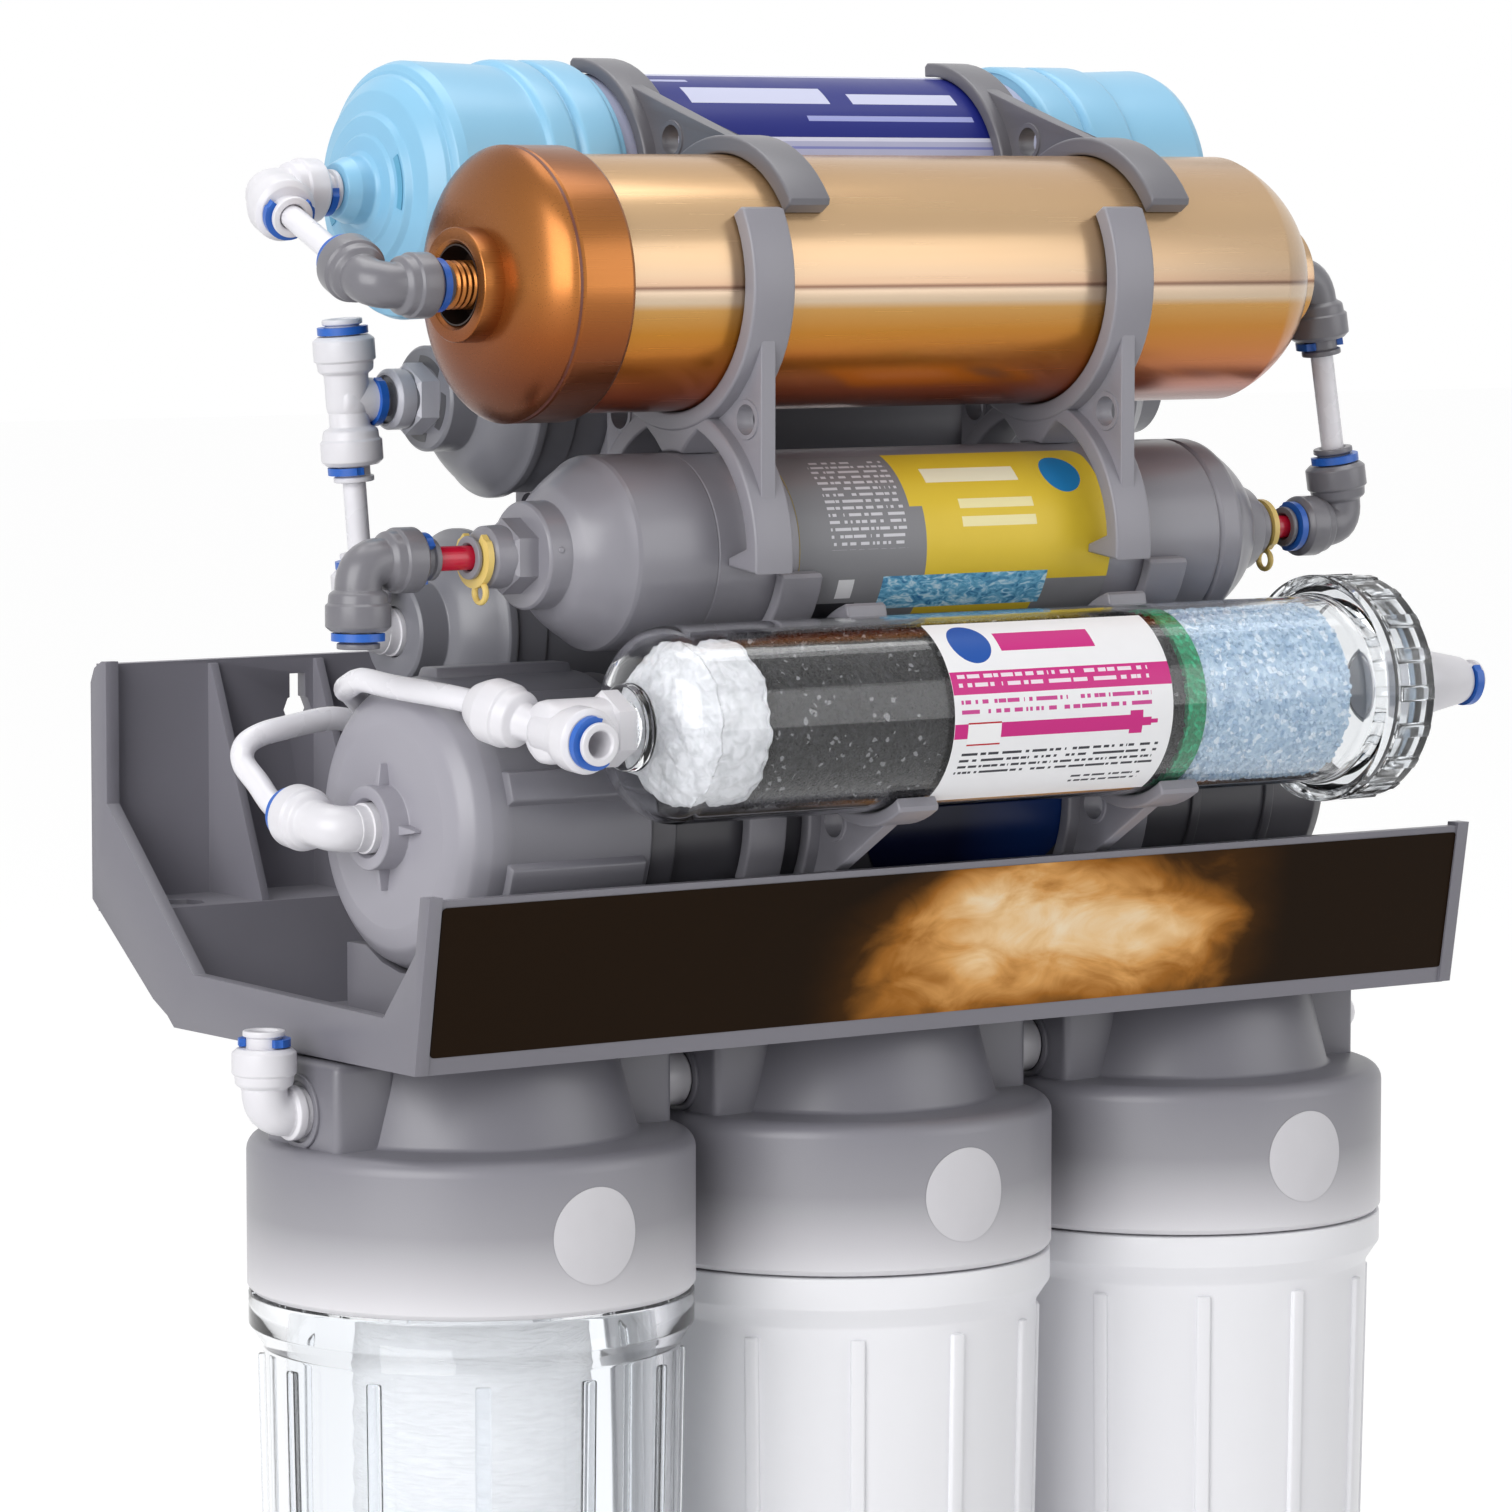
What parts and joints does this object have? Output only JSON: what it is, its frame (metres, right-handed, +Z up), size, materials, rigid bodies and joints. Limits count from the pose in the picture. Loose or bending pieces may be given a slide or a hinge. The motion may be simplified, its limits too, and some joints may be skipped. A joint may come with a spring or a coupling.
{
  "type": "reverse osmosis water filter",
  "caption": "Undersink reverse osmosis water filter: screwed housings under a moulded tray, with a membrane housing and inline cartridges clipped above it.",
  "frame": {"origin": "on the ground plane under the middle of the filter's outline", "axes": "+X along the row of housings, -Y towards the front lip of the tray, +Z up"},
  "size_m": [0.3804, 0.2126, 0.5604],
  "materials": {
    "grey_plastic": "satin moulded polypropylene",
    "grey_fitting": "semi gloss moulded acetal",
    "white_fitting": "semi gloss moulded polypropylene",
    "white_plastic": "semi gloss moulded polypropylene",
    "white_tube": "smooth polyethylene tube",
    "red_tube": "smooth polyethylene tube",
    "seal_rubber": "matt",
    "clear_plastic": "clear polished",
    "filter_fibre": "wound or blown fibre",
    "carbon": "granular",
    "green_sponge": "open foam",
    "pale_mineral": "granular",
    "blue_plastic": "satin moulded",
    "copper_finish": "mirror metallised plastic"
  },
  "bodies": {
    "frame": {"bracket": "grey_plastic", "head_left": "grey_plastic", "head_middle": "grey_plastic", "head_right": "grey_plastic", "membrane_housing": "grey_plastic", "membrane_cap": "grey_plastic", "mineral_cartridge": "grey_plastic", "rear_upper_cartridge": "grey_plastic", "rear_lower_cartridge": "grey_plastic", "top_clip_left": "grey_plastic", "top_clip_right": "grey_plastic", "stack_clip_left": "grey_plastic", "stack_clip_right": "grey_plastic", "front_clip_left": "grey_plastic", "front_clip_right": "grey_plastic", "riser_clip_left": "grey_plastic", "riser_clip_right": "grey_plastic", "rear_clip_left": "grey_plastic", "rear_clip_right": "grey_plastic", "copper_elbow_left": "grey_fitting", "copper_elbow_right": "grey_fitting", "mineral_elbow_right": "grey_fitting", "nipple_left": "white_fitting", "nipple_right": "white_fitting", "inlet_elbow": "white_fitting", "outlet_elbow": "white_fitting", "membrane_elbow": "white_fitting", "alkaline_elbow": "white_fitting", "rear_tee": "white_fitting", "rear_elbow": "white_fitting", "clear_tee": "white_fitting", "shutoff_valve": "white_fitting", "membrane_feed_tube": "white_tube", "post_feed_tube": "white_tube", "supply_tube": "white_tube", "top_link_tube": "white_tube", "right_link_tube": "white_tube", "rear_link_tube": "white_tube", "red_tube_left": "red_tube", "red_tube_right": "red_tube", "membrane_element": "white_plastic", "alkaline_cartridge": "blue_plastic", "copper_cartridge": "copper_finish", "clear_shell": "clear_plastic", "wool_plug": "filter_fibre", "carbon_bed": "carbon", "green_sponge": "green_sponge", "mineral_bed": "pale_mineral"},
    "left_cartridge": {"sediment_cartridge": "filter_fibre"},
    "left_sump": {"sump_left": "clear_plastic", "sump_seal_left": "seal_rubber"},
    "middle_cartridge": {"carbon_block_cartridge": "carbon"},
    "middle_sump": {"sump_middle": "white_plastic", "sump_seal_middle": "seal_rubber"},
    "right_cartridge": {"fine_sediment_cartridge": "filter_fibre"},
    "right_sump": {"sump_right": "white_plastic", "sump_seal_right": "seal_rubber"},
    "clear_seal": {"clear_cap_seal": "seal_rubber"},
    "clear_lid": {"clear_cap": "clear_plastic"},
    "mineral_elbow": {"mineral_elbow_left": "grey_fitting"}
  },
  "joints": [
    {"name": "left_sump_drop", "type": "slide", "parent": "frame", "child": "left_cartridge", "axis": [0, 0, -1], "range_m": [0, 0.024]},
    {"name": "left_sump_turn", "type": "hinge", "parent": "left_cartridge", "child": "left_sump", "pos_m": [-0.1186, -0.0072, 0.238], "axis": [0, 0, -1], "range_deg": [0, 1080]},
    {"name": "middle_sump_drop", "type": "slide", "parent": "frame", "child": "middle_cartridge", "axis": [0, 0, -1], "range_m": [0, 0.024]},
    {"name": "middle_sump_turn", "type": "hinge", "parent": "middle_cartridge", "child": "middle_sump", "pos_m": [0, -0.0072, 0.238], "axis": [0, 0, -1], "range_deg": [0, 1080]},
    {"name": "right_sump_drop", "type": "slide", "parent": "frame", "child": "right_cartridge", "axis": [0, 0, -1], "range_m": [0, 0.024]},
    {"name": "right_sump_turn", "type": "hinge", "parent": "right_cartridge", "child": "right_sump", "pos_m": [0.1186, -0.0072, 0.238], "axis": [0, 0, -1], "range_deg": [0, 1080]},
    {"name": "clear_lid_pull", "type": "slide", "parent": "frame", "child": "clear_seal", "axis": [1, 0, 0], "range_m": [0, 0.012]},
    {"name": "clear_lid_turn", "type": "hinge", "parent": "clear_seal", "child": "clear_lid", "pos_m": [0.12, -0.07521, 0.38926], "axis": [1, 0, 0], "range_deg": [0, 1080]},
    {"name": "mineral_elbow_swivel", "type": "hinge", "parent": "frame", "child": "mineral_elbow", "pos_m": [-0.172, -0.0382, 0.43139], "axis": [1, 0, 0], "range_deg": [-120, 120]}
  ],
  "couplings": [
    {"joint": "left_sump_drop", "follows": "left_sump_turn", "m_per_rad": 0.00127},
    {"joint": "middle_sump_drop", "follows": "middle_sump_turn", "m_per_rad": 0.00127},
    {"joint": "right_sump_drop", "follows": "right_sump_turn", "m_per_rad": 0.00127},
    {"joint": "clear_lid_pull", "follows": "clear_lid_turn", "m_per_rad": 0.000636}
  ]
}
